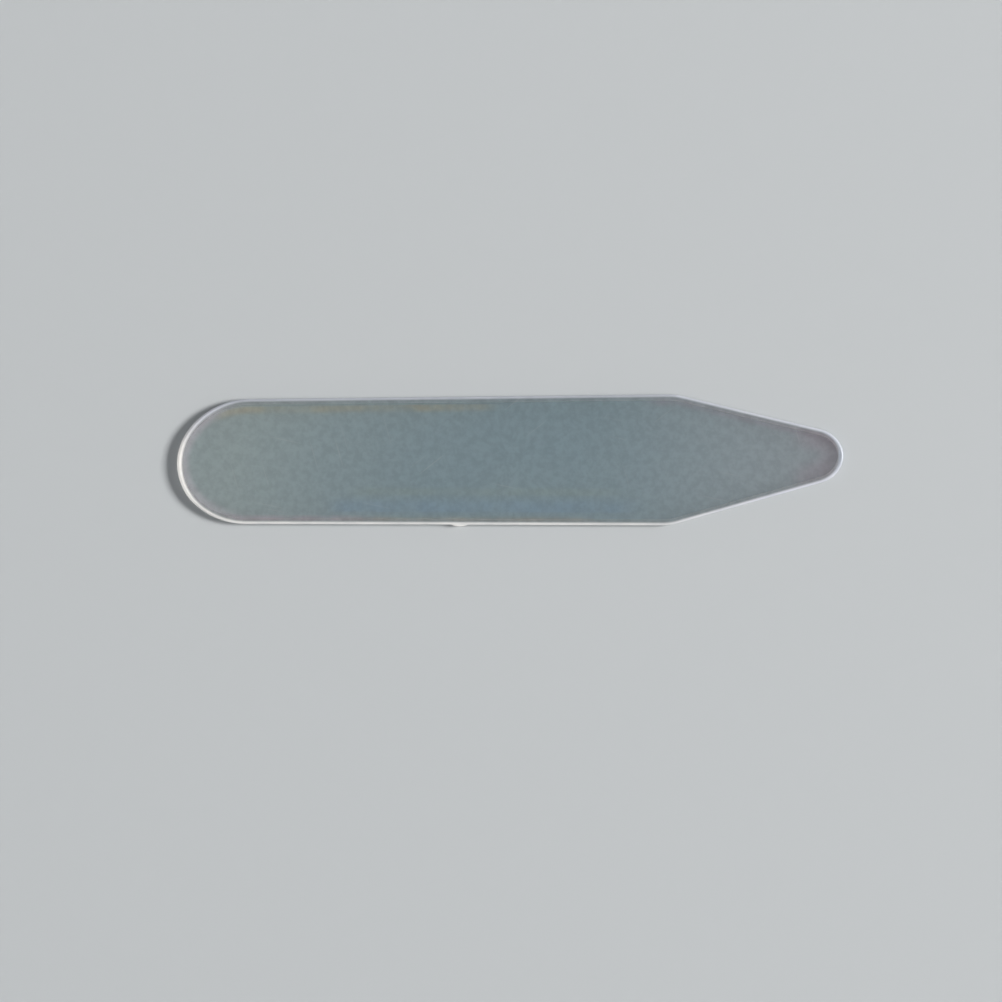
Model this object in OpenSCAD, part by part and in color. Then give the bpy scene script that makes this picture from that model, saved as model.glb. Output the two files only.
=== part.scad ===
// A flat plastic collar stay: a round butt, sides that open out slightly towards two soft
// shoulders, and a taper to a blunt point. It lies flat, the butt towards -X and the point
// towards +X, with its underside at Z = 0 and the middle of its length and width at the origin.

/* [Length] */
// Overall length, from the end of the butt to the end of the point
stay_length = 50.8; // [40:0.1:76]
// Length of the taper along the upper edge (+Y), from its shoulder to the end of the point
upper_taper_length = 12.8; // [9:0.05:18]
// Length of the taper along the lower edge (-Y), from its shoulder to the end of the point
lower_taper_length = 13.25; // [9:0.05:18]

/* [Width] */
// Width between the sides where they reach the end of the butt
butt_width = 9.45; // [7:0.05:13]
// Width between the two shoulders, the widest place
shoulder_width = 10.0; // [8:0.05:14]
// Width between the tapers where they reach the end of the point
point_width = 3.17; // [2.2:0.01:5]
// How far the butt's round end lies off the centre line
butt_offset = -0.16; // [-0.6:0.02:0.6]
// How far the point lies off the centre line
point_offset = 0.28; // [-0.6:0.02:0.6]

/* [Round ends] */
// Radius at the very end of the butt
butt_nose_radius = 4.25; // [2.5:0.05:6]
// Radius that carries the butt's end into the sides
butt_flank_radius = 5.8; // [5:0.1:8]
// Radius that softens each shoulder
shoulder_radius = 3.9; // [1:0.1:7]
// Radius at the very end of the point
point_nose_radius = 1.75; // [0.8:0.05:2.5]
// Radius that carries the end of the point into the tapers
point_flank_radius = 2.4; // [2:0.05:4]

/* [Sheet] */
// Thickness of the plastic
thickness = 0.5; // [0.3:0.05:0.9]
// Radius of the rolled edge, above and below
edge_roll = 0.2; // [0.05:0.01:0.3]

/* [Gate mark] */
// Distance of the gate mark from the end of the butt, on the lower edge
gate_from_butt = 21.5; // [12:0.5:26]
// Length of the gate mark along the edge
gate_length = 1.3; // [0.6:0.1:3]
// How far the gate mark stands proud of the edge
gate_proud = 0.12; // [0.05:0.01:0.3]
// Height of the gate mark, centred in the thickness
gate_height = 0.26; // [0.1:0.02:0.28]

/* [Hidden] */
$fn = 128;
// Smoky grey plastic that shows some of what lies under it
stay_colour = [0.47, 0.51, 0.54, 0.75];
// Flat steps that turn each rolled edge through a quarter circle
roll_steps = 3;
// Largest turn between two points of an arc, in degrees
arc_step = 5;
// Two points nearer than this are one
same_place = 0.001;
// Share of the radius that would just fill an end, so that an end always keeps its flank arcs
fill_share = 0.97;
// The roll leaves at least this share of the thickness as an upright land
land_share = 0.1;

roll = min(edge_roll, thickness * (1 - land_share) / 2);
butt_x = -stay_length / 2;
point_x = stay_length / 2;

function along(edge) = (edge[1] - edge[0]) / norm(edge[1] - edge[0]);
// The outline runs anticlockwise, so its outside is on the right of each edge
function outward(edge) = [along(edge)[1], -along(edge)[0]];
function reach(edge, p) = outward(edge) * (edge[0] - p);
function angle_of(v) = atan2(v[1], v[0]);
function turn_between(a, b) = (angle_of(b) - angle_of(a) + 360) % 360;

// The four straight edges, before their ends are rounded
lower_shoulder = [point_x - lower_taper_length, -shoulder_width / 2];
upper_shoulder = [point_x - upper_taper_length, shoulder_width / 2];
lower_side = [[butt_x, -butt_width / 2], lower_shoulder];
lower_taper = [lower_shoulder, [point_x, point_offset - point_width / 2]];
upper_taper = [[point_x, point_offset + point_width / 2], upper_shoulder];
upper_side = [upper_shoulder, [butt_x, butt_width / 2]];

// The radius at which a nose that starts at the end would also touch the edge. inward is the
// way into the sheet from that end: +1 at the butt, -1 at the point
function filling_radius(edge, end, inward) = reach(edge, end) / (1 + inward * outward(edge)[0]);
function nose_radius(wanted, edges, end, inward) =
    min(wanted, fill_share * min([for (edge = edges) filling_radius(edge, end, inward)]));

butt_end = [butt_x, butt_offset];
point_end = [point_x, point_offset];
butt_r = nose_radius(butt_nose_radius, [lower_side, upper_side], butt_end, 1);
point_r = nose_radius(point_nose_radius, [lower_taper, upper_taper], point_end, -1);
butt_nose = butt_end + [butt_r, 0];
point_nose = point_end - [point_r, 0];

// One arc of the outline: its centre, its radius, and the directions in which it starts and ends
function arc(centre, r, from, to) = [centre, r, from / norm(from), to / norm(to)];

// A flank arc touches its edge and carries on smoothly into the nose. forward is +1 where the
// edge leaves that end, and -1 where it arrives there
function flank_arc(nose, nose_r, edge, wanted, forward) =
    let(
        gap = reach(edge, nose),
        r = max(wanted, gap),
        slip = sqrt((gap - nose_r) * (2 * r - nose_r - gap)),
        centre = nose + outward(edge) * (gap - r) + along(edge) * forward * slip,
        to_nose = nose - centre
    )
    forward > 0 ? arc(centre, r, to_nose, outward(edge)) : arc(centre, r, outward(edge), to_nose);

// A shoulder's arc touches the two edges that meet there
function corner_arc(a, b, r) =
    let(
        na = outward(a),
        nb = outward(b),
        ka = na * a[0] - r,
        kb = nb * b[0] - r,
        d = na[0] * nb[1] - na[1] * nb[0],
        centre = [(ka * nb[1] - kb * na[1]) / d, (na[0] * kb - nb[0] * ka) / d]
    )
    arc(centre, r, na, nb);

butt_upper = flank_arc(butt_nose, butt_r, upper_side, butt_flank_radius, -1);
butt_lower = flank_arc(butt_nose, butt_r, lower_side, butt_flank_radius, 1);
point_lower = flank_arc(point_nose, point_r, lower_taper, point_flank_radius, -1);
point_upper = flank_arc(point_nose, point_r, upper_taper, point_flank_radius, 1);

// The whole outline, anticlockwise from the butt's upper flank. Straight edges join the arcs
ARCS = [
    butt_upper,
    arc(butt_nose, butt_r, butt_upper[3], butt_lower[2]),
    butt_lower,
    corner_arc(lower_side, lower_taper, shoulder_radius),
    point_lower,
    arc(point_nose, point_r, point_lower[3], point_upper[2]),
    point_upper,
    corner_arc(upper_taper, upper_side, shoulder_radius),
];

// Points along one arc, each with its outward direction
function arc_points(a) =
    let(
        turn = turn_between(a[2], a[3]),
        steps = max(1, ceil(turn / arc_step)),
        first = angle_of(a[2])
    )
    [for (i = [0:steps]) let(t = first + turn * i / steps, out = [cos(t), sin(t)])
        [a[0] + a[1] * out, out]];

// The outline's points in turn. A flank and its nose share one point, which is kept once
ALL_POINTS = [for (a = ARCS) each arc_points(a)];
OUTLINE = [for (i = [0:len(ALL_POINTS) - 1])
    let(before = ALL_POINTS[(i + len(ALL_POINTS) - 1) % len(ALL_POINTS)])
    if (norm(ALL_POINTS[i][0] - before[0]) > same_place) ALL_POINTS[i]];

// The edge's section from the underside up, as distances in from the outline and heights
RIM_LEVELS = concat(
    [for (i = [0:roll_steps]) let(t = 90 * i / roll_steps)
        [roll * (1 - sin(t)), roll * (1 - cos(t))]],
    [for (i = [0:roll_steps]) let(t = 90 * i / roll_steps)
        [roll * (1 - cos(t)), thickness - roll * (1 - sin(t))]]
);

// The sheet with its rolled edge: one closed skin, with a ring of the outline at each level
module sheet() {
    count = len(OUTLINE);
    last = len(RIM_LEVELS) - 1;
    skin = [for (level = RIM_LEVELS) for (p = OUTLINE) [each (p[0] - level[0] * p[1]), level[1]]];
    underside = [for (i = [0:count - 1]) i];
    upside = [for (i = [count - 1:-1:0]) last * count + i];
    rim = [for (k = [0:last - 1]) for (i = [0:count - 1]) let(next = (i + 1) % count)
        [k * count + i, (k + 1) * count + i, (k + 1) * count + next, k * count + next]];
    polyhedron(skin, [underside, upside, each rim]);
}

// A low round-backed nub that a moulding gate or a cutting nick leaves on the lower edge
module gate_mark() {
    gate_radius = (pow(gate_length / 2, 2) + pow(gate_proud, 2)) / (2 * gate_proud);
    on_edge = lower_side[0] + along(lower_side) * gate_from_butt;
    centre = on_edge + outward(lower_side) * (gate_proud - gate_radius);
    height = min(gate_height, thickness - roll);
    translate([centre[0], centre[1], (thickness - height) / 2])
        cylinder(r = gate_radius, h = height);
}

module stay() {
    color(stay_colour)
    union() {
        sheet();
        gate_mark();
    }
}

stay();
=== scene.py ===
"""A see-through plastic collar stay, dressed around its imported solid.

The stay is one flat sheet: a round butt, two soft shoulders and a blunt point. The sheet is cut from a
blank with straight cuts all round, its edges are rolled, and a small gate mark is raised on the lower
edge. It lies on a plain pale floor in soft studio light, under a camera that looks straight down.
"""

import logging
import math
from collections.abc import Callable, Iterator
from dataclasses import dataclass, field
from enum import Enum
from functools import reduce
from itertools import pairwise
from typing import NamedTuple

import bmesh
import bpy
from mathutils import Matrix, Vector


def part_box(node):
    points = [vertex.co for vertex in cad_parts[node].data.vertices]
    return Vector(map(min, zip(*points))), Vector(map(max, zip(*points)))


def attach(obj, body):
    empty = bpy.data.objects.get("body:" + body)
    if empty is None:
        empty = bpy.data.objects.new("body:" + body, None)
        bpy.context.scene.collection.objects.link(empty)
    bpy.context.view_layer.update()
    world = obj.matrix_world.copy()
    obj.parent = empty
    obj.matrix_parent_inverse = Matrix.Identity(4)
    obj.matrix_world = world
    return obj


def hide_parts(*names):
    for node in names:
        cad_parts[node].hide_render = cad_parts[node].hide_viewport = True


LOG = logging.getLogger("collar_stay")
MM = 0.001
Colour = tuple[float, float, float]
Value = bpy.types.NodeSocket | float | Colour | Vector

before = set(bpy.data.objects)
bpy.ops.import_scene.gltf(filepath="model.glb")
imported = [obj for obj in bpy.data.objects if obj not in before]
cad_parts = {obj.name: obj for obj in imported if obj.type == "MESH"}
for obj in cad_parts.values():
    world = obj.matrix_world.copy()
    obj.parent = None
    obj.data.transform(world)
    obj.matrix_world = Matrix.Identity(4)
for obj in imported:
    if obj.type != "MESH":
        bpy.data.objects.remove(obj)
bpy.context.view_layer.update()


class Channel(Enum):
    """The values that each point of the sheet carries for its finishes."""

    EDGE_DEPTH = "edge_depth"
    # Whitened plastic, and painted light where the edge faces away from the key light.
    WHITENING_AND_PAINTED_LIGHT = "whitening"
    WHITE_WIDTH = "white_width"


class Finish(Enum):
    """The sheet's finishes, in the order of its material slots."""

    FACE = 0
    CUT_EDGE = 1


class Cut(NamedTuple):
    """A straight cut that touches the outline: a place on it, and the way out of the sheet there."""

    place: Vector
    outward: Vector


class EdgeLook(NamedTuple):
    """How the edge looks where it faces one way, in degrees from +X.

    White is the share of whitened plastic and of painted light, the glow of light carried through the
    sheet to the edges that face away from the key light. Width is how far in it reaches, in millimetres.
    """

    facing: float
    white: float
    width: float


def flat_angle(way: Vector) -> float:
    """The direction of a flat vector, in radians anticlockwise from +X."""
    return math.atan2(way.y, way.x)


def flat_way(angle: float) -> Vector:
    """The unit vector in a direction given in radians anticlockwise from +X."""
    return Vector((math.cos(angle), math.sin(angle)))


@dataclass(frozen=True)
class Side:
    """A straight side of the outline, which runs anticlockwise, before its ends are rounded."""

    start: Vector
    end: Vector

    @property
    def along(self) -> Vector:
        """The side's own direction."""
        return (self.end - self.start).normalized()

    @property
    def outward(self) -> Vector:
        """The way out of the sheet, on the right of the side."""
        return Vector((self.along.y, -self.along.x))

    def reach(self, point: Vector) -> float:
        """How far the side lies outside a point."""
        return self.outward.dot(self.start - point)


@dataclass(frozen=True)
class Arc:
    """A round stretch of the outline, from one outward direction to another."""

    centre: Vector
    radius: float
    first: float
    turn: float

    @classmethod
    def between(cls, centre: Vector, radius: float, start: Vector, end: Vector) -> "Arc":
        """An arc that turns anticlockwise.

        Args:
            centre: Its centre.
            radius: Its radius.
            start: The way out of the sheet where it starts.
            end: The way out of the sheet where it ends.

        Returns:
            The arc.
        """
        turn = (flat_angle(end) - flat_angle(start)) % math.tau
        return cls(centre, radius, flat_angle(start), turn)

    def cuts(self, largest_turn: float) -> Iterator[Cut]:
        """Straight cuts that touch the arc.

        Args:
            largest_turn: The largest turn between two cuts, in radians.

        Returns:
            The cuts in turn. The cut at the arc's end is left to the next arc, which starts with it.
        """
        steps = max(1, math.ceil(self.turn / largest_turn))
        for step in range(steps):
            outward = flat_way(self.first + self.turn * step / steps)
            yield Cut(self.centre + outward * self.radius, outward)


@dataclass(frozen=True)
class Outline:
    """The stay's outline, in millimetres, with the middle of its length and width at the origin.

    The length comes from the frame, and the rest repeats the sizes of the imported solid.
    """

    length: float
    upper_taper: float = 12.8
    lower_taper: float = 13.25
    butt_width: float = 9.45
    shoulder_width: float = 10.0
    point_width: float = 3.17
    butt_offset: float = -0.16
    point_offset: float = 0.28
    butt_nose_radius: float = 4.25
    butt_flank_radius: float = 5.8
    shoulder_radius: float = 3.9
    point_nose_radius: float = 1.75
    point_flank_radius: float = 2.4
    cut_turn: float = math.radians(3.0)

    @property
    def butt_end(self) -> Vector:
        """The middle of the butt's round end."""
        return Vector((-self.length / 2, self.butt_offset))

    @property
    def point_end(self) -> Vector:
        """The middle of the point's round end."""
        return Vector((self.length / 2, self.point_offset))

    def sides(self) -> tuple[Side, Side, Side, Side]:
        """The lower side, the lower taper, the upper taper and the upper side."""
        butt_x, point_x = self.butt_end.x, self.point_end.x
        half_butt, half_point = self.butt_width / 2, self.point_width / 2
        lower_shoulder = Vector((point_x - self.lower_taper, -self.shoulder_width / 2))
        upper_shoulder = Vector((point_x - self.upper_taper, self.shoulder_width / 2))
        return (
            Side(Vector((butt_x, -half_butt)), lower_shoulder),
            Side(lower_shoulder, Vector((point_x, self.point_offset - half_point))),
            Side(Vector((point_x, self.point_offset + half_point)), upper_shoulder),
            Side(upper_shoulder, Vector((butt_x, half_butt))),
        )

    @staticmethod
    def flank(nose: Vector, nose_radius: float, side: Side, radius: float, leaves: bool) -> Arc:
        """The arc that carries a side smoothly into a round end.

        Args:
            nose: The centre of the round end's own arc.
            nose_radius: Its radius.
            side: The side that the arc touches.
            radius: The arc's radius.
            leaves: True where the side leaves that end, False where it arrives there.

        Returns:
            The arc.
        """
        gap = side.reach(nose)
        slip = math.sqrt((gap - nose_radius) * (2 * radius - nose_radius - gap))
        centre = nose + side.outward * (gap - radius) + side.along * (slip if leaves else -slip)
        to_nose = nose - centre
        if leaves:
            return Arc.between(centre, radius, to_nose, side.outward)
        return Arc.between(centre, radius, side.outward, to_nose)

    def shoulder(self, first: Side, second: Side) -> Arc:
        """The arc that softens the shoulder where two sides meet."""
        radius, a, b = self.shoulder_radius, first.outward, second.outward
        reach_a, reach_b = a.dot(first.start) - radius, b.dot(second.start) - radius
        cross = a.x * b.y - a.y * b.x
        centre = Vector(((reach_a * b.y - reach_b * a.y) / cross, (a.x * reach_b - b.x * reach_a) / cross))
        return Arc.between(centre, radius, a, b)

    def arcs(self) -> list[Arc]:
        """The outline's arcs, anticlockwise from the butt's upper flank. The sides join them."""
        lower_side, lower_taper, upper_taper, upper_side = self.sides()
        butt, butt_r = self.butt_end + Vector((self.butt_nose_radius, 0)), self.butt_nose_radius
        point, point_r = self.point_end - Vector((self.point_nose_radius, 0)), self.point_nose_radius
        butt_upper = self.flank(butt, butt_r, upper_side, self.butt_flank_radius, leaves=False)
        butt_lower = self.flank(butt, butt_r, lower_side, self.butt_flank_radius, leaves=True)
        point_lower = self.flank(point, point_r, lower_taper, self.point_flank_radius, leaves=False)
        point_upper = self.flank(point, point_r, upper_taper, self.point_flank_radius, leaves=True)
        return [
            butt_upper,
            Arc.between(butt, butt_r, butt - butt_upper.centre, butt - butt_lower.centre),
            butt_lower,
            self.shoulder(lower_side, lower_taper),
            point_lower,
            Arc.between(point, point_r, point - point_lower.centre, point - point_upper.centre),
            point_upper,
            self.shoulder(upper_taper, upper_side),
        ]

    def cuts(self) -> list[Cut]:
        """Straight cuts that touch the whole outline in turn, each direction once."""
        return [cut for arc in self.arcs() for cut in arc.cuts(self.cut_turn)]


class Bench:
    """Small steps of modelling in edit mode, on the one object that is being made.

    Two places nearer than TOUCH, in metres, are one. A face lies flat where its normal's Z passes FLAT. A
    bevel of the profile ROUND is a quarter circle.
    """

    TOUCH = 1e-7
    FLAT = 0.999
    ROUND = 0.5

    @staticmethod
    def put_down() -> None:
        """Leaves edit mode and selects nothing."""
        if bpy.context.object and bpy.context.object.mode != "OBJECT":
            bpy.ops.object.mode_set(mode="OBJECT")
        bpy.ops.object.select_all(action="DESELECT")

    @staticmethod
    def pick_faces(wanted: Callable[[bmesh.types.BMFace], bool]) -> None:
        """Selects the faces that are wanted and no others, in edit mode."""
        bpy.ops.mesh.select_mode(type="FACE")
        bpy.ops.mesh.select_all(action="DESELECT")
        mesh = bmesh.from_edit_mesh(bpy.context.object.data)
        for face in filter(wanted, mesh.faces):
            face.select_set(True)
        bmesh.update_edit_mesh(bpy.context.object.data)

    @staticmethod
    def pick_edges(wanted: Callable[[bmesh.types.BMEdge], bool]) -> None:
        """Selects the edges that are wanted and no others, in edit mode."""
        bpy.ops.mesh.select_mode(type="EDGE")
        bpy.ops.mesh.select_all(action="DESELECT")
        mesh = bmesh.from_edit_mesh(bpy.context.object.data)
        for edge in filter(wanted, mesh.edges):
            edge.select_set(True)
        bmesh.update_edit_mesh(bpy.context.object.data)


@dataclass
class GateMark:
    """The low round nub that a gate leaves on the lower side. Sizes in millimetres.

    White is its share of whitened plastic, which it has in full from the share full_from of its rise on.
    """

    from_butt: float = 21.5
    length: float = 1.3
    proud: float = 0.12
    half_height: float = 0.17
    half_crest: float = 0.06
    columns: int = 14
    white: float = 0.95
    full_from: float = 0.5

    @property
    def radius(self) -> float:
        """The radius of the nub's back, seen from above."""
        return ((self.length / 2) ** 2 + self.proud**2) / (2 * self.proud)

    def stations(self) -> list[float]:
        """Distances along the side, from the nub's middle, at which it gets a column of points."""
        return [self.length * (step / self.columns - 0.5) for step in range(self.columns + 1)]

    def rise(self, along: float, from_middle: float) -> float:
        """How far the nub stands proud.

        Args:
            along: The distance along the side from the nub's middle.
            from_middle: The height from the middle of the sheet's thickness.

        Returns:
            The rise, in millimetres.
        """
        if abs(along) >= self.length / 2 or abs(from_middle) >= self.half_height:
            return 0.0
        back = math.sqrt(self.radius**2 - along**2) - (self.radius - self.proud)
        fall = max(0.0, abs(from_middle) - self.half_crest) / (self.half_height - self.half_crest)
        return back * math.cos(fall * math.pi / 2)

    def whitened(self, rise: float, white: float) -> float:
        """Blends the edge's white, painted light included, into the nub's own.

        Args:
            rise: How far a place stands proud.
            white: How white the edge round it is.

        Returns:
            How white the place is.
        """
        share = min(1.0, max(0.0, rise / (self.full_from * self.proud)))
        return white + share * (self.white - white)


@dataclass
class StaySheet:
    """The whole stay: one flat sheet with a rolled edge. Sizes in millimetres.

    Rings are the widths of the rings inside the roll. The first edge_rings of them have the edge's finish.
    Columns and rows are the places along and across the stay where the middle of a face is divided. The
    cut's core runs from the middle of the thickness to core[0], and has faded out at core[1]. Points
    nearer than smallest_step are joined, and a depth may pass a limit by depth_slack.
    """

    outline: Outline
    low: Vector
    high: Vector
    edge_roll: float = 0.2
    roll_steps: int = 6
    rings: tuple[float, ...] = (0.06, 0.08, 0.12, 0.2, 0.3, 0.4)
    edge_rings: int = 3
    smallest_step: float = 0.002
    depth_slack: float = 0.015
    smooth_below: float = math.radians(40)
    core: tuple[float, float] = (0.05, 0.15)
    core_white: float = 0.1
    columns: tuple[float, ...] = (
        *(-23, -21, -19, -16, -13, -10, -7, -4, -1, 2),
        *(5, 8, 11, 13, 15, 17, 19, 20.5, 22, 23),
    )
    rows: tuple[float, ...] = (-3.1, -2.7, -2.3, -1.9, -1.4, -0.7, 0.28, 1.2, 1.9, 2.3, 2.7, 3.1)
    # The white is partly whitened plastic and partly painted light. It is strongest on the edges that face
    # away from the key light, where light carried through the sheet would make the cut glow. It is least
    # at the point, which the key light strikes.
    looks: tuple[EdgeLook, ...] = (
        EdgeLook(0, white=0.06, width=0.40),
        EdgeLook(40, white=0.24, width=0.23),
        EdgeLook(76, white=0.38, width=0.16),
        EdgeLook(90, white=0.32, width=0.15),
        EdgeLook(120, white=0.40, width=0.27),
        EdgeLook(150, white=0.72, width=0.34),
        EdgeLook(180, white=1.00, width=0.35),
        EdgeLook(210, white=0.82, width=0.31),
        EdgeLook(240, white=0.75, width=0.22),
        EdgeLook(270, white=0.66, width=0.165),
        EdgeLook(285, white=0.52, width=0.17),
        EdgeLook(320, white=0.28, width=0.23),
        EdgeLook(360, white=0.06, width=0.40),
    )
    gate: GateMark = field(default_factory=GateMark)
    name: str = "stay_sheet"

    @property
    def thickness(self) -> float:
        """The sheet's thickness, which the frame gives."""
        return self.high.z - self.low.z

    def build(self) -> bpy.types.Object:
        """Models the sheet.

        Returns:
            The finished piece, at the origin, in metres.
        """
        sheet = self._blank()
        bpy.ops.object.mode_set(mode="EDIT")
        self._trim()
        self._roll_edges()
        self._ring_faces()
        self._divide_middle()
        self._cut_gate_columns()
        self._settle_faces()
        bpy.ops.object.mode_set(mode="OBJECT")
        self._raise_gate(sheet)
        bpy.ops.object.shade_smooth_by_angle(angle=self.smooth_below)
        self._record_channels(sheet)
        Bench.put_down()
        return sheet

    def _blank(self) -> bpy.types.Object:
        """Adds the blank, which is as long, wide and thick as the stay."""
        Bench.put_down()
        middle, size = (self.low + self.high) / 2, self.high - self.low
        bpy.ops.mesh.primitive_cube_add(size=1, location=middle * MM, scale=size * MM)
        bpy.ops.object.transform_apply(location=True, rotation=True, scale=True)
        blank = bpy.context.object
        blank.name = blank.data.name = self.name
        return blank

    def _trim(self) -> None:
        """Cuts the blank to the outline."""
        for cut in self.outline.cuts():
            bpy.ops.mesh.select_all(action="SELECT")
            bpy.ops.mesh.bisect(
                plane_co=cut.place.to_3d() * MM,
                plane_no=cut.outward.to_3d(),
                use_fill=True,
                clear_outer=True,
                threshold=Bench.TOUCH,
            )

    def _roll_edges(self) -> None:
        """Rounds the edge of both faces all the way round."""
        Bench.pick_edges(lambda edge: abs(edge.verts[0].co.z - edge.verts[1].co.z) < Bench.TOUCH)
        bpy.ops.mesh.bevel(
            offset=self.edge_roll * MM,
            segments=self.roll_steps,
            profile=Bench.ROUND,
            clamp_overlap=False,
        )

    def _ring_faces(self) -> None:
        """Adds rings inside the edge of both faces, for the finish to follow. The middles stay picked."""
        Bench.pick_faces(lambda face: abs(face.normal.z) > Bench.FLAT)
        for width in self.rings:
            bpy.ops.mesh.inset(thickness=width * MM, use_even_offset=True)

    def _divide_middle(self) -> None:
        """Divides both faces inside the last ring, so that the depth from the edge holds there too."""
        bpy.ops.mesh.hide(unselected=True)
        for way, places in ((Vector((1, 0, 0)), self.columns), (Vector((0, 1, 0)), self.rows)):
            for place in places:
                bpy.ops.mesh.select_all(action="SELECT")
                bpy.ops.mesh.bisect(plane_co=way * place * MM, plane_no=way, threshold=Bench.TOUCH)
        bpy.ops.mesh.reveal(select=False)

    def _gate_frame(self) -> tuple[Vector, Vector, Vector]:
        """The gate mark's middle on the lower side, and the ways along and out."""
        side = self.outline.sides()[0]
        return side.start + side.along * self.gate.from_butt, side.along, side.outward

    def _cut_gate_columns(self) -> None:
        """Divides the rolled edge into columns of points where the gate mark will be."""
        middle, along, outward = self._gate_frame()

        def beside(face: bmesh.types.BMFace) -> bool:
            """True for a face of the edge on the lower side."""
            centre = face.calc_center_median().to_2d() / MM - middle
            return abs(face.normal.z) < Bench.FLAT and abs(centre.dot(outward)) < self.edge_roll

        for station in self.gate.stations():
            Bench.pick_faces(beside)
            place = middle + along * station
            bpy.ops.mesh.bisect(
                plane_co=place.to_3d() * MM, plane_no=along.to_3d(), threshold=Bench.TOUCH
            )

    def _settle_faces(self) -> None:
        """Joins points that all but touch, and divides the faces of more than four sides evenly."""
        bpy.ops.mesh.select_mode(type="VERT")
        bpy.ops.mesh.select_all(action="SELECT")
        bpy.ops.mesh.remove_doubles(threshold=self.smallest_step * MM)
        Bench.pick_faces(lambda face: len(face.verts) > 4)
        bpy.ops.mesh.quads_convert_to_tris(quad_method="BEAUTY", ngon_method="BEAUTY")

    def _raise_gate(self, sheet: bpy.types.Object) -> None:
        """Moves the edge's points out to the gate mark's round back."""
        middle, along, outward = self._gate_frame()
        half = self.thickness / 2
        for vertex in sheet.data.vertices:
            offset = vertex.co.to_2d() / MM - middle
            if abs(offset.dot(outward)) < self.edge_roll:
                rise = self.gate.rise(offset.dot(along), vertex.co.z / MM - self.low.z - half)
                vertex.co += outward.to_3d() * rise * MM

    def _record_channels(self, sheet: bpy.types.Object) -> None:
        """Writes each point's depth from the edge, and the whiteness and the width of the edge nearest."""
        cuts = self.outline.cuts()
        values: dict[Channel, list[float]] = {channel: [] for channel in Channel}
        for vertex in sheet.data.vertices:
            spot = vertex.co.to_2d() / MM
            nearest = min(cuts, key=lambda cut: cut.outward.dot(cut.place - spot))
            look = self.edge_look(nearest.outward)
            depth = nearest.outward.dot(nearest.place - spot)
            # Painted light: the white is strongest where the edge faces away from the key light.
            white = look.white * self.white_left(vertex.co.z / MM)
            values[Channel.EDGE_DEPTH].append(max(0.0, depth))
            values[Channel.WHITENING_AND_PAINTED_LIGHT].append(self.gate.whitened(-depth, white))
            values[Channel.WHITE_WIDTH].append(look.width)
        for channel in Channel:
            attribute = sheet.data.attributes.new(channel.value, "FLOAT", "POINT")
            attribute.data.foreach_set("value", values[channel])

    def white_left(self, height: float) -> float:
        """The share of the edge's white, painted light included, that is left at a height.

        Args:
            height: The height, in millimetres.

        Returns:
            A share that is least in the core of the cut and rises softly to 1 towards both faces.
        """
        near, far = self.core
        off_middle = abs(height - self.low.z - self.thickness / 2)
        share = min(1.0, max(0.0, (off_middle - near) / (far - near)))
        return self.core_white + (1.0 - self.core_white) * share * share * (3.0 - 2.0 * share)

    def edge_look(self, outward: Vector) -> EdgeLook:
        """How the edge looks where it faces outward, blended between the nearest two looks."""
        facing = math.degrees(flat_angle(outward)) % 360
        before, after = next(pair for pair in pairwise(self.looks) if facing <= pair[1].facing)
        share = (facing - before.facing) / (after.facing - before.facing)
        white = before.white + share * (after.white - before.white)
        return EdgeLook(facing, white, before.width + share * (after.width - before.width))

    def dress(self, sheet: bpy.types.Object, face: bpy.types.Material, edge: bpy.types.Material) -> None:
        """Gives the flat faces, and the rolled edge with the first rings inside it, their finishes.

        Args:
            sheet: The finished piece.
            face: The finish of the flat faces.
            edge: The finish of the edge.
        """
        for material in (face, edge):
            sheet.data.materials.append(material)
        depths = sheet.data.attributes[Channel.EDGE_DEPTH.value].data
        limit = self.edge_roll + sum(self.rings[: self.edge_rings]) + self.depth_slack
        for polygon in sheet.data.polygons:
            depth = max(depths[index].value for index in polygon.vertices)
            polygon.material_index = (Finish.CUT_EDGE if depth <= limit else Finish.FACE).value


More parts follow.
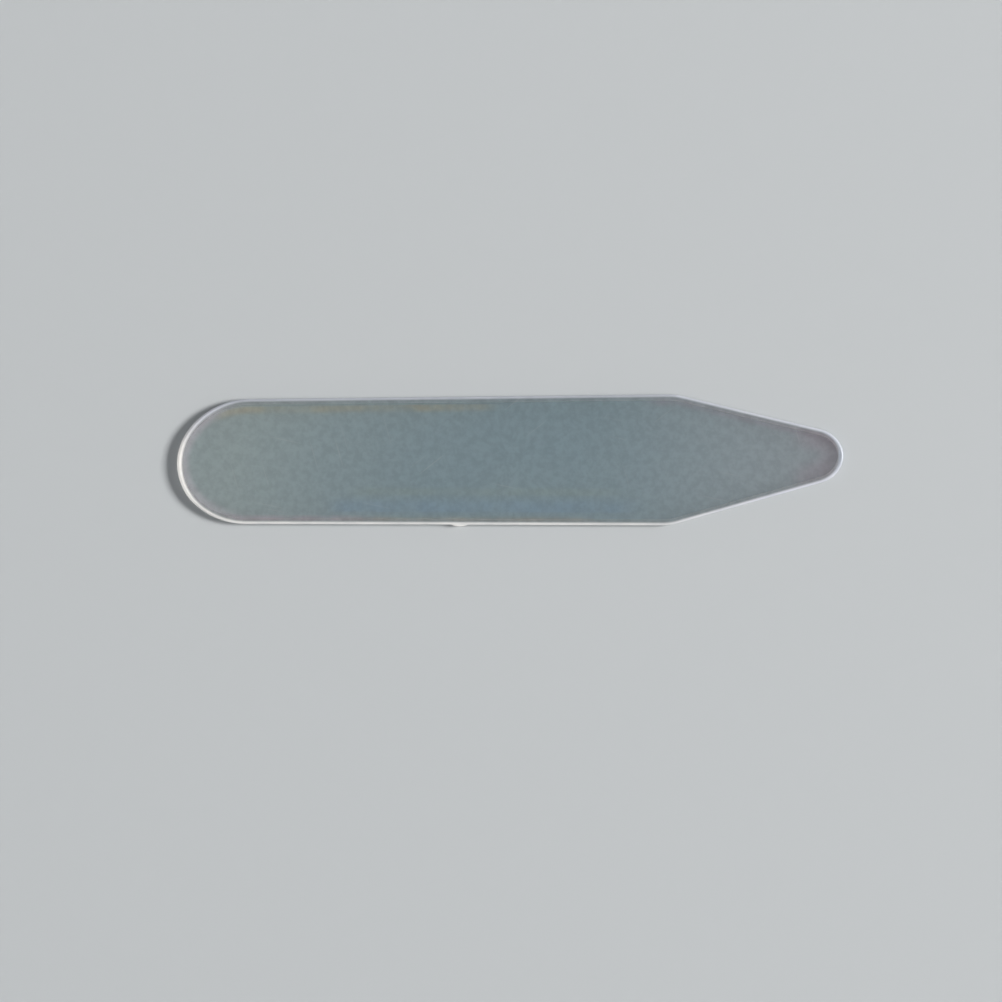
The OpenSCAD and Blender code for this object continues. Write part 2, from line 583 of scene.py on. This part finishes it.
class Wiring:
    """Adds nodes to one tree and links them, so that a finish reads as a list of steps.

    MIX_IN and MIX_OUT are where a mix of colours has its share, its two colours and its result. MIDDLING
    is the range in which most of a noise's values lie.
    """

    MIX_IN = (0, 6, 7)
    MIX_OUT = 2
    MIDDLING = (0.3, 0.7)

    def __init__(self, tree: bpy.types.NodeTree) -> None:
        """Starts on a tree and clears it."""
        self.tree = tree
        tree.nodes.clear()

    def add(
        self, kind: str, inputs: dict[str | int, Value] | None = None, **settings: object
    ) -> bpy.types.Node:
        """Adds a node.

        Args:
            kind: The node's Blender type.
            inputs: A value, or the socket to link, for each input by name or number.
            settings: The node's own settings.

        Returns:
            The node.
        """
        node = self.tree.nodes.new(kind)
        for name, value in settings.items():
            setattr(node, name, value)
        for key, value in (inputs or {}).items():
            if isinstance(value, bpy.types.NodeSocket):
                self.tree.links.new(value, node.inputs[key])
            elif node.inputs[key].type == "RGBA":
                node.inputs[key].default_value = (*value, 1.0)
            else:
                node.inputs[key].default_value = value
        return node

    def maths(
        self, operation: str, a: Value, b: Value = 0.0, clamp: bool = False
    ) -> bpy.types.NodeSocket:
        """One step of arithmetic on two values."""
        return self.add("ShaderNodeMath", {0: a, 1: b}, operation=operation, use_clamp=clamp).outputs[0]

    def ramp(
        self, value: Value, low: float, high: float, start: float = 0.0, end: float = 1.0
    ) -> bpy.types.NodeSocket:
        """Turns values from low to high smoothly into values from start to end."""
        inputs = {0: value, 1: low, 2: high, 3: start, 4: end}
        return self.add("ShaderNodeMapRange", inputs, interpolation_type="SMOOTHSTEP").outputs[0]

    def mix(self, share: Value, a: Value, b: Value, kind: str = "MIX") -> bpy.types.NodeSocket:
        """Blends colour a into colour b by a share."""
        inputs = dict(zip(self.MIX_IN, (share, a, b)))
        node = self.add("ShaderNodeMix", inputs, data_type="RGBA", blend_type=kind)
        return node.outputs[self.MIX_OUT]

    def product(self, *values: Value) -> bpy.types.NodeSocket:
        """All the values multiplied, from the first to the last."""
        return reduce(lambda a, b: self.maths("MULTIPLY", a, b), values)

    def shade(self, colour: Value, level: Value) -> bpy.types.NodeSocket:
        """Darkens a colour to a level, or lightens it past 1."""
        grey = self.add("ShaderNodeCombineColor", {0: level, 1: level, 2: level}).outputs[0]
        return self.mix(1.0, colour, grey, "MULTIPLY")

    def effect(self, group: bpy.types.NodeTree, **inputs: Value) -> dict[str, bpy.types.NodeSocket]:
        """Adds a shader group with its named inputs, and gives its outputs by name."""
        node = self.add("ShaderNodeGroup", inputs, node_tree=group)
        return {socket.name: socket for socket in node.outputs}

    def channel(self, channel: Channel) -> bpy.types.NodeSocket:
        """One of the sheet's own channels."""
        return self.add("ShaderNodeAttribute", attribute_name=channel.value).outputs["Fac"]

    def place(self) -> bpy.types.NodeSocket:
        """The place on the piece, in metres."""
        return self.add("ShaderNodeTexCoord").outputs["Object"]

    def noise(
        self, place: Value, size: float, detail: float = 2.0, roughness: float = 0.5
    ) -> bpy.types.NodeSocket:
        """Soft noise.

        Args:
            place: Where to read it.
            size: The size of its spots, in millimetres.
            detail: How many finer layers it has.
            roughness: How strong the finer layers are.

        Returns:
            Values from 0 to 1, mostly near the middle.
        """
        inputs = {"Vector": place, "Scale": 1 / (size * MM), "Detail": detail, "Roughness": roughness}
        return self.add("ShaderNodeTexNoise", inputs).outputs[0]


@dataclass(frozen=True)
class Band:
    """A faint band of colour that follows the edge. Most bands are tints in the plastic; one is painted
    shade, the rim's shadow seen through the sheet.

    Ranges are in millimetres: its depth from the edge, and its place along the stay. So are its soft ends:
    out_soft on the outside, butt_soft and point_soft along the stay, and mid_soft from the middle into a
    half. Inwards it fades over half of its own depth. Side is 1 for the upper half alone, -1 for the lower
    half alone and 0 for both. Patchy is the share that is lost where the band breaks up.
    """

    colour: Colour
    share: float
    depth: tuple[float, float]
    along: tuple[float, float]
    side: int = 0
    patchy: float = 0.0
    out_soft: float = 0.1
    butt_soft: float = 1.0
    point_soft: float = 2.0
    mid_soft: float = 2.0

    def strength(
        self, wiring: Wiring, depth: Value, along: Value, across: Value, patches: Value
    ) -> Value:
        """How strong the band is at each place.

        Args:
            wiring: The wiring to add to.
            depth: The depth from the edge, in millimetres.
            along: The place along the stay, in millimetres.
            across: The place across the stay, in millimetres.
            patches: Soft patches, from 0 to 1.

        Returns:
            Its share, from 0 to 1.
        """
        near, far = self.depth
        left, right = self.along
        fade = (far - near) / 2
        parts = [
            wiring.ramp(depth, near - self.out_soft, near + self.out_soft),
            wiring.ramp(depth, far - fade, far + fade / 2, 1.0, 0.0),
            wiring.ramp(along, left - self.butt_soft, left + self.butt_soft),
            wiring.ramp(along, right - self.point_soft, right + self.point_soft, 1.0, 0.0),
        ]
        if self.side:
            parts.append(wiring.ramp(across, 0.0, self.mid_soft * self.side))
        parts.append(wiring.ramp(patches, *wiring.MIDDLING, 1.0 - self.patchy, 1.0))
        return wiring.product(*parts, self.share)


@dataclass(frozen=True)
class Frosting:
    """Fine frosting: a soft mottle with a finer grain in it. Sizes in millimetres."""

    mottle_size: float = 0.6
    mottle_detail: float = 3.0
    mottle_roughness: float = 0.6
    mottle: float = 1.0
    grain_size: float = 0.28
    grain_detail: float = 1.0
    grain: float = 0.35


@dataclass(frozen=True)
class Scuffs:
    """Hairline scuffs: short thin strokes in three directions.

    Directions pairs the turn of each, in degrees, with the shift that keeps it off the others, in metres.
    Density is the number of cells per metre along, across and above a stroke. A stroke fades out between
    the two distances of its reach from a cell's middle, and rare is the range of chance that shows it.
    """

    directions: tuple[tuple[float, float], ...] = ((12, 0.0), (-38, 0.013), (74, 0.029))
    density: tuple[float, float, float] = (120.0, 3300.0, 100.0)
    reach: tuple[float, float] = (0.08, 0.2)
    rare: tuple[float, float] = (0.78, 1.0)


@dataclass(frozen=True)
class Smoke:
    """The plastic's colour: smoky, milkier towards both ends, with faint tints along the edge and a band
    of painted shade inside the upper side.

    Ranges of place along the stay and sizes are in millimetres.
    """

    core: Colour = (0.583, 0.703, 0.745)
    milky: Colour = (0.715, 0.797, 0.795)
    point_tint: Colour = (0.752, 0.795, 0.818)
    scratch: Colour = (0.95, 0.96, 0.96)
    scratch_share: float = 0.4
    milky_along: tuple[float, float] = (-3.0, -26.0)
    cloud_size: float = 9.0
    cloud_share: float = 0.12
    tint_along: tuple[float, float] = (4.0, 25.0)
    tint_share: float = 0.8
    patch_size: float = 1.6
    frost_shades: tuple[float, float] = (0.87, 1.05)
    bands: tuple[Band, ...] = (
        Band((0.99, 0.96, 1.00), share=0.8, depth=(0.30, 1.00), along=(-30.0, -21.5)),
        # Painted shade: the shadow of the rolled rim, seen through the sheet inside the upper side.
        Band((0.84, 0.78, 0.62), share=0.75, depth=(0.60, 1.15), along=(-22.0, -2.0), side=1, patchy=0.7),
        Band((0.84, 0.78, 0.68), share=0.5, depth=(0.25, 0.65), along=(-13.0, 6.0), side=-1, patchy=0.6),
        Band((0.55, 0.72, 0.88), share=0.45, depth=(0.95, 1.95), along=(-13.5, 9.0), side=-1, patchy=0.5),
        Band((0.68, 0.76, 0.68), share=0.35, depth=(2.25, 2.85), along=(-12.0, 8.0), side=-1, patchy=0.5),
        Band((0.88, 0.77, 0.83), share=0.7, depth=(0.25, 0.70), along=(-21.5, -11.0), side=-1, patchy=0.5),
        Band((0.76, 0.72, 0.79), share=0.6, depth=(0.30, 0.90), along=(11.0, 30.0), side=1, patchy=0.4),
        Band((0.77, 0.70, 0.76), share=0.7, depth=(0.25, 1.80), along=(22.0, 30.0), patchy=0.3),
    )


class Effects:
    """The shader groups that the finishes share, each made once."""

    def __init__(self, frosting: Frosting, scuffs: Scuffs, smoke: Smoke) -> None:
        """Makes the groups.

        Args:
            frosting: The fine frosting.
            scuffs: The hairline scuffs.
            smoke: The plastic's colour, with a band of painted shade.
        """
        self.frost = self._frost(frosting)
        self.hairlines = self._hairlines(scuffs)
        self.smoke = self._smoke(smoke)

    @staticmethod
    def _group(
        name: str, inputs: dict[str, float], outputs: dict[str, str]
    ) -> tuple[Wiring, dict[str, bpy.types.NodeSocket]]:
        """Starts a group.

        Args:
            name: The group's name.
            inputs: The named values that it takes, with their defaults. All have a Place besides.
            outputs: The kinds of what it gives, Float or Color, by name.

        Returns:
            The wiring of its tree, and its inputs by name.
        """
        tree = bpy.data.node_groups.new(name, "ShaderNodeTree")
        tree.interface.new_socket("Place", in_out="INPUT", socket_type="NodeSocketVector")
        for label, default in inputs.items():
            socket = tree.interface.new_socket(label, in_out="INPUT", socket_type="NodeSocketFloat")
            socket.default_value = default
        for label, kind in outputs.items():
            tree.interface.new_socket(label, in_out="OUTPUT", socket_type=f"NodeSocket{kind}")
        wiring = Wiring(tree)
        entry = wiring.add("NodeGroupInput")
        return wiring, {socket.name: socket for socket in entry.outputs if socket.name}

    def _frost(self, look: Frosting) -> bpy.types.NodeTree:
        """The frosting's height, which lies about 0, and a mask that lies about the middle of 0 to 1."""
        strengths = {"Mottle": look.mottle, "Grain": look.grain}
        wiring, given = self._group("frost", strengths, {"Mask": "Float", "Height": "Float"})
        middle = sum(wiring.MIDDLING) / 2
        mottle = wiring.noise(
            given["Place"], look.mottle_size, look.mottle_detail, look.mottle_roughness
        )
        grain = wiring.noise(given["Place"], look.grain_size, look.grain_detail)
        mottle = wiring.product(wiring.maths("SUBTRACT", mottle, middle), given["Mottle"])
        grain = wiring.product(wiring.maths("SUBTRACT", grain, middle), given["Grain"])
        height = wiring.maths("ADD", mottle, grain)
        mask = wiring.maths("ADD", height, middle, clamp=True)
        wiring.add("NodeGroupOutput", {"Mask": mask, "Height": height})
        return wiring.tree

    def _hairlines(self, look: Scuffs) -> bpy.types.NodeTree:
        """A mask of the scuffs: one stroke in each long thin cell that chance keeps."""
        wiring, given = self._group("hairlines", {}, {"Mask": "Float"})
        total: Value = 0.0
        for turn, shift in look.directions:
            turned = wiring.add(
                "ShaderNodeMapping",
                {
                    "Vector": given["Place"],
                    "Location": (shift, shift, 0.0),
                    "Rotation": (0.0, 0.0, math.radians(turn)),
                },
            ).outputs[0]
            drawn = wiring.add(
                "ShaderNodeVectorMath", {0: turned, 1: look.density}, operation="MULTIPLY"
            ).outputs[0]
            cells = wiring.add("ShaderNodeTexVoronoi", {"Vector": drawn, "Scale": 1.0}).outputs
            stroke = wiring.ramp(cells["Distance"], *look.reach, 1.0, 0.0)
            chance = wiring.add("ShaderNodeSeparateColor", {0: cells["Color"]}).outputs[0]
            kept = wiring.product(stroke, wiring.ramp(chance, *look.rare))
            total = wiring.maths("ADD", total, kept, clamp=True)
        wiring.add("NodeGroupOutput", {"Mask": total})
        return wiring.tree

    def _smoke(self, look: Smoke) -> bpy.types.NodeTree:
        """The plastic's colour at each place, with its frosting, scuffs and a band of painted shade."""
        wiring, given = self._group("smoke", {"Depth": 1.0}, {"Colour": "Color"})
        place = given["Place"]
        split = wiring.add("ShaderNodeSeparateXYZ", {0: place}).outputs
        along = wiring.maths("DIVIDE", split["X"], MM)
        across = wiring.maths("DIVIDE", split["Y"], MM)
        clouds = wiring.ramp(wiring.noise(place, look.cloud_size), *wiring.MIDDLING)
        patches = wiring.noise(place, look.patch_size)

        to_butt = wiring.ramp(along, *look.milky_along)
        milk = wiring.maths("ADD", to_butt, wiring.product(clouds, look.cloud_share), clamp=True)
        colour = wiring.mix(milk, look.core, look.milky)
        tint = wiring.product(wiring.ramp(along, *look.tint_along), look.tint_share)
        colour = wiring.mix(tint, colour, look.point_tint)
        for band in look.bands:
            share = band.strength(wiring, given["Depth"], along, across, patches)
            colour = wiring.mix(share, colour, band.colour)

        frost = wiring.effect(self.frost, Place=place)
        colour = wiring.shade(colour, wiring.ramp(frost["Mask"], *wiring.MIDDLING, *look.frost_shades))
        lines = wiring.effect(self.hairlines, Place=place)
        scuffs = wiring.product(lines["Mask"], look.scratch_share)
        wiring.add("NodeGroupOutput", {"Colour": wiring.mix(scuffs, colour, look.scratch)})
        return wiring.tree


@dataclass(frozen=True)
class Finisher:
    """What the stay's two finishes have in common.

    The roughness swings by rough_swing to either side where the frosting's mask runs over frost_range, and
    relief is the share of relief_depth, in millimetres, by which the frosting shows as a bump.
    """

    name: str = "plastic"
    clear_share: float = 0.85
    roughness: float = 0.36
    rough_swing: float = 0.05
    frost_range: tuple[float, float] = (0.2, 0.8)
    refraction: float = 1.5
    relief: float = 0.35
    relief_depth: float = 0.02

    def base_colour(self, wiring: Wiring, effects: Effects) -> Value:
        """The plastic's colour, with a band of painted shade inside the upper side."""
        depth = wiring.channel(Channel.EDGE_DEPTH)
        return wiring.effect(effects.smoke, Place=wiring.place(), Depth=depth)["Colour"]

    def material(self, effects: Effects) -> bpy.types.Material:
        """Makes the finish.

        Args:
            effects: The shader groups.

        Returns:
            The material.
        """
        material = bpy.data.materials.new(self.name)
        material.use_nodes = True
        wiring = Wiring(material.node_tree)
        frost = wiring.effect(effects.frost, Place=wiring.place())
        swing = (self.roughness - self.rough_swing, self.roughness + self.rough_swing)
        rough = wiring.ramp(frost["Mask"], *self.frost_range, *swing)
        bump = wiring.add(
            "ShaderNodeBump",
            {
                "Height": frost["Height"],
                "Strength": self.relief,
                "Distance": self.relief_depth * MM,
            },
        )
        shader = wiring.add(
            "ShaderNodeBsdfPrincipled",
            {
                "Base Color": self.base_colour(wiring, effects),
                "Roughness": rough,
                "IOR": self.refraction,
                "Transmission Weight": self.clear_share,
                "Normal": bump.outputs[0],
            },
        )
        wiring.add("ShaderNodeOutputMaterial", {"Surface": shader.outputs[0]})
        return material


@dataclass(frozen=True)
class FrostedFace(Finisher):
    """The flat faces: smoky see-through plastic with a fine frosted grain.

    Close to the whitened edge it is lighter by painted_rim_light, which fades out over rim_depth, in
    millimetres. This is painted light over the shade that the opaque edge casts on the floor seen through
    it.
    """

    name: str = "frosted_face"
    painted_rim_light: float = 1.07
    rim_depth: tuple[float, float] = (0.45, 0.85)

    def base_colour(self, wiring: Wiring, effects: Effects) -> Value:
        """The plastic's colour, with painted light that makes it a little lighter close to the whitened
        edge.
        """
        depth = wiring.channel(Channel.EDGE_DEPTH)
        # Painted light: lighter near the edge, over the shade that the opaque edge casts through the
        # sheet.
        rim_light_level = wiring.ramp(depth, *self.rim_depth, self.painted_rim_light, 1.0)
        return wiring.shade(super().base_colour(wiring, effects), rim_light_level)


@dataclass(frozen=True)
class CutEdge(Finisher):
    """The rolled edge: plastic that the cut has whitened, with painted light where it faces away from the
    key light, fading into the face's own colour.

    Inside the white it takes the face's colour at painted_face_shade, from the first to the second value
    over face_depth. This is painted shade that makes this opaque band look like the lit see-through face.
    It is lighter towards the border so that no dark line shows where the two finishes meet. The white is
    cool towards the point and above the middle. Fade is where it ends, counted from its own width. All
    places and sizes are in millimetres.
    """

    name: str = "cut_edge"
    clear_share: float = 0.1
    roughness: float = 0.38
    dull: Colour = (0.28, 0.31, 0.35)
    warm_white: Colour = (0.98, 0.945, 0.90)
    cool_white: Colour = (0.92, 0.90, 0.97)
    painted_face_shade: tuple[float, float] = (0.302, 0.350)
    face_depth: tuple[float, float] = (0.34, 0.46)
    patch_size: float = 1.8
    patch_detail: float = 3.0
    patch_shades: tuple[float, float] = (0.88, 1.1)
    cool_along: tuple[float, float] = (8.0, 22.0)
    cool_across: tuple[float, float] = (1.0, 4.5)
    fade: tuple[float, float] = (-0.08, 0.13)

    def base_colour(self, wiring: Wiring, effects: Effects) -> Value:
        """White plastic with painted light, or dull plastic, out at the edge, and inside it the face's
        colour darkened by painted shade.
        """
        depth = wiring.channel(Channel.EDGE_DEPTH)
        # Painted shade: the face's colour darkened so that this opaque band looks like the lit see-through
        # face.
        level = wiring.ramp(depth, *self.face_depth, *self.painted_face_shade)
        face = wiring.shade(super().base_colour(wiring, effects), level)
        patches = wiring.noise(wiring.place(), self.patch_size, self.patch_detail)
        patchy = wiring.ramp(patches, *wiring.MIDDLING, *self.patch_shades)
        # The white share carries painted light on the edges that face away from the key light.
        share = wiring.maths("MULTIPLY", wiring.channel(Channel.WHITENING_AND_PAINTED_LIGHT), patchy, clamp=True)
        split = wiring.add("ShaderNodeSeparateXYZ", {0: wiring.place()}).outputs
        near_point = wiring.ramp(split["X"], *(place * MM for place in self.cool_along))
        above = wiring.ramp(split["Y"], *(place * MM for place in self.cool_across))
        cool = wiring.maths("MAXIMUM", near_point, above)
        rim = wiring.mix(share, self.dull, wiring.mix(cool, self.warm_white, self.cool_white))
        inside = wiring.maths("SUBTRACT", depth, wiring.channel(Channel.WHITE_WIDTH))
        return wiring.mix(wiring.ramp(inside, *self.fade, 1.0, 0.0), face, rim)


@dataclass(frozen=True)
class SoftLight:
    """A plain soft light that faces the stay. Its place is given as a direction and a distance.

    A light for the stay alone leaves the floor as it is, and shows in no reflection.
    """

    name: str
    azimuth: float
    elevation: float
    distance: float
    width: float
    height: float
    power: float
    stay_only: bool = False

    def hang(self, stay: bpy.types.Object) -> None:
        """Adds the light to the scene.

        Args:
            stay: The finished stay.
        """
        lamp = bpy.data.lights.new(self.name, "AREA")
        lamp.shape = "RECTANGLE"
        lamp.size, lamp.size_y = self.width, self.height
        lamp.energy = self.power
        light = bpy.data.objects.new(self.name, lamp)
        bpy.context.scene.collection.objects.link(light)
        flat = math.cos(math.radians(self.elevation))
        way = (flat_way(math.radians(self.azimuth)) * flat).to_3d()
        way.z = math.sin(math.radians(self.elevation))
        light.location = way * self.distance
        light.rotation_euler = way.to_track_quat("Z", "Y").to_euler()
        light.visible_camera = False
        if self.stay_only:
            light.visible_glossy = False
            lit = bpy.data.collections.new(f"lit_by_{self.name}")
            lit.objects.link(stay)
            light.light_linking.receiver_collection = lit


@dataclass
class Studio:
    """The plain pale floor, which curves up into a backdrop all round, and the soft lights.

    Sizes are in metres. The paper is plain as far as plain_radius, and has the wall's look from
    wall_radius. Drop is how far the floor lies below the stay, so that the two never share a place.
    """

    floor_radius: float = 1.5
    floor_sides: int = 96
    plain_radius: float = 0.06
    wall_radius: float = 1.25
    sweep: float = 1.0
    sweep_steps: int = 12
    drop: float = 0.02 * MM
    paper: Colour = (0.52, 0.535, 0.54)
    paper_roughness: float = 0.9
    wall: Colour = (0.68, 0.69, 0.69)
    wall_glow: float = 0.2
    sky: Colour = (0.9, 0.95, 1.0)
    sky_strength: float = 0.20
    lights: tuple[SoftLight, ...] = (
        SoftLight("key", azimuth=5, elevation=24, distance=2.0, width=0.62, height=0.415, power=68.5),
        SoftLight("veil", azimuth=215, elevation=58, distance=1.5, width=0.75, height=0.6, power=2.0),
        SoftLight(
            "edge",
            azimuth=206,
            elevation=14,
            distance=0.3,
            width=0.12,
            height=0.05,
            power=0.39,
            stay_only=True,
        ),
    )

    def build(self, stay: bpy.types.Object) -> None:
        """Makes the floor, the lights and the light of the room.

        Args:
            stay: The finished stay.
        """
        self._floor()
        for light in self.lights:
            light.hang(stay)
        world = bpy.data.worlds.new("room_light")
        world.use_nodes = True
        background = world.node_tree.nodes["Background"]
        background.inputs["Color"].default_value = (*self.sky, 1.0)
        background.inputs["Strength"].default_value = self.sky_strength
        bpy.context.scene.world = world
        bpy.context.scene.view_settings.view_transform = "Standard"

    def _floor(self) -> None:
        """Spins up the floor: a disc whose rim is drawn up into a curved wall."""
        Bench.put_down()
        bpy.ops.mesh.primitive_circle_add(
            vertices=self.floor_sides,
            radius=self.floor_radius,
            fill_type="NGON",
            location=(0, 0, -self.drop),
        )
        floor = bpy.context.object
        floor.name = floor.data.name = "studio_floor"
        bpy.ops.object.transform_apply(location=True)
        bpy.ops.object.mode_set(mode="EDIT")
        Bench.pick_edges(lambda edge: edge.is_boundary)
        radius, height = self.floor_radius, 0.0
        for step in range(1, self.sweep_steps + 1):
            turn = math.pi / 2 * step / self.sweep_steps
            wider = self.floor_radius + self.sweep * math.sin(turn)
            higher = self.sweep * (1 - math.cos(turn))
            bpy.ops.mesh.extrude_edges_move(TRANSFORM_OT_translate={"value": (0, 0, higher - height)})
            growth = (wider / radius, wider / radius, 1)
            bpy.ops.transform.resize(value=growth, center_override=(0, 0, 0))
            radius, height = wider, higher
        bpy.ops.object.mode_set(mode="OBJECT")
        bpy.ops.object.shade_smooth()
        floor.data.materials.append(self._paper())
        Bench.put_down()

    def _paper(self) -> bpy.types.Material:
        """Plain matt paper, which turns paler and softly lit from behind as it leads into the wall."""
        material = bpy.data.materials.new("studio_paper")
        material.use_nodes = True
        wiring = Wiring(material.node_tree)
        reach = wiring.add("ShaderNodeVectorMath", {0: wiring.place()}, operation="LENGTH")
        far = wiring.ramp(reach.outputs["Value"], self.plain_radius, self.wall_radius)
        shader = wiring.add(
            "ShaderNodeBsdfPrincipled",
            {
                "Base Color": wiring.mix(far, self.paper, self.wall),
                "Roughness": self.paper_roughness,
                "Emission Color": self.wall,
                "Emission Strength": wiring.product(far, self.wall_glow),
            },
        )
        wiring.add("ShaderNodeOutputMaterial", {"Surface": shader.outputs[0]})
        material.cycles.emission_sampling = "NONE"
        return material


@dataclass(frozen=True)
class PhotoCamera:
    """The camera straight above, framed as the photograph is.

    Pixels are those of the photograph, which is as high as it is wide. Origin_px is where the origin of
    the shared frame shows in it, from its left and its top. The lens and the sensor are in millimetres,
    and the camera sees from its distance divided by clip_factor to its distance times clip_factor.
    """

    picture_px: float = 1002.0
    px_per_mm: float = 13.13
    origin_px: tuple[float, float] = (510.3, 460.5)
    roll_degrees: float = 0.21
    lens: float = 100.0
    sensor: float = 36.0
    clip_factor: float = 20.0

    def stand(self, face_height: float) -> bpy.types.Object:
        """Adds the camera.

        Args:
            face_height: The height at which the scale holds, the upper face's, in millimetres.

        Returns:
            The camera, which is the scene's.
        """
        data = bpy.data.cameras.new("photo_camera")
        data.lens, data.sensor_width = self.lens, self.sensor
        camera = bpy.data.objects.new("photo_camera", data)
        bpy.context.scene.collection.objects.link(camera)
        across = self.picture_px / self.px_per_mm
        distance = across * self.lens / self.sensor
        middle = self.picture_px / 2
        turn = Matrix.Rotation(math.radians(-self.roll_degrees), 2)
        aim = turn @ Vector((middle - self.origin_px[0], self.origin_px[1] - middle)) / self.px_per_mm
        camera.location = Vector((aim.x, aim.y, face_height + distance)) * MM
        camera.rotation_euler = (0.0, 0.0, math.radians(-self.roll_degrees))
        data.clip_start = distance * MM / self.clip_factor
        data.clip_end = distance * MM * self.clip_factor
        bpy.context.scene.camera = camera
        return camera


def main() -> None:
    """Builds the pieces in order, dresses them and reports the stay's faces."""
    logging.basicConfig(level=logging.INFO, format="%(name)s: %(message)s")
    low, high = (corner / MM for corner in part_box("stay"))
    PhotoCamera().stand(face_height=high.z)
    maker = StaySheet(Outline(length=high.x - low.x), low, high)
    sheet = maker.build()
    effects = Effects(Frosting(), Scuffs(), Smoke())
    maker.dress(sheet, FrostedFace().material(effects), CutEdge().material(effects))
    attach(sheet, "root")
    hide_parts("stay")
    Studio().build(sheet)
    LOG.info("%s: %d faces", sheet.name, len(sheet.data.polygons))


if __name__ == "__main__":
    main()
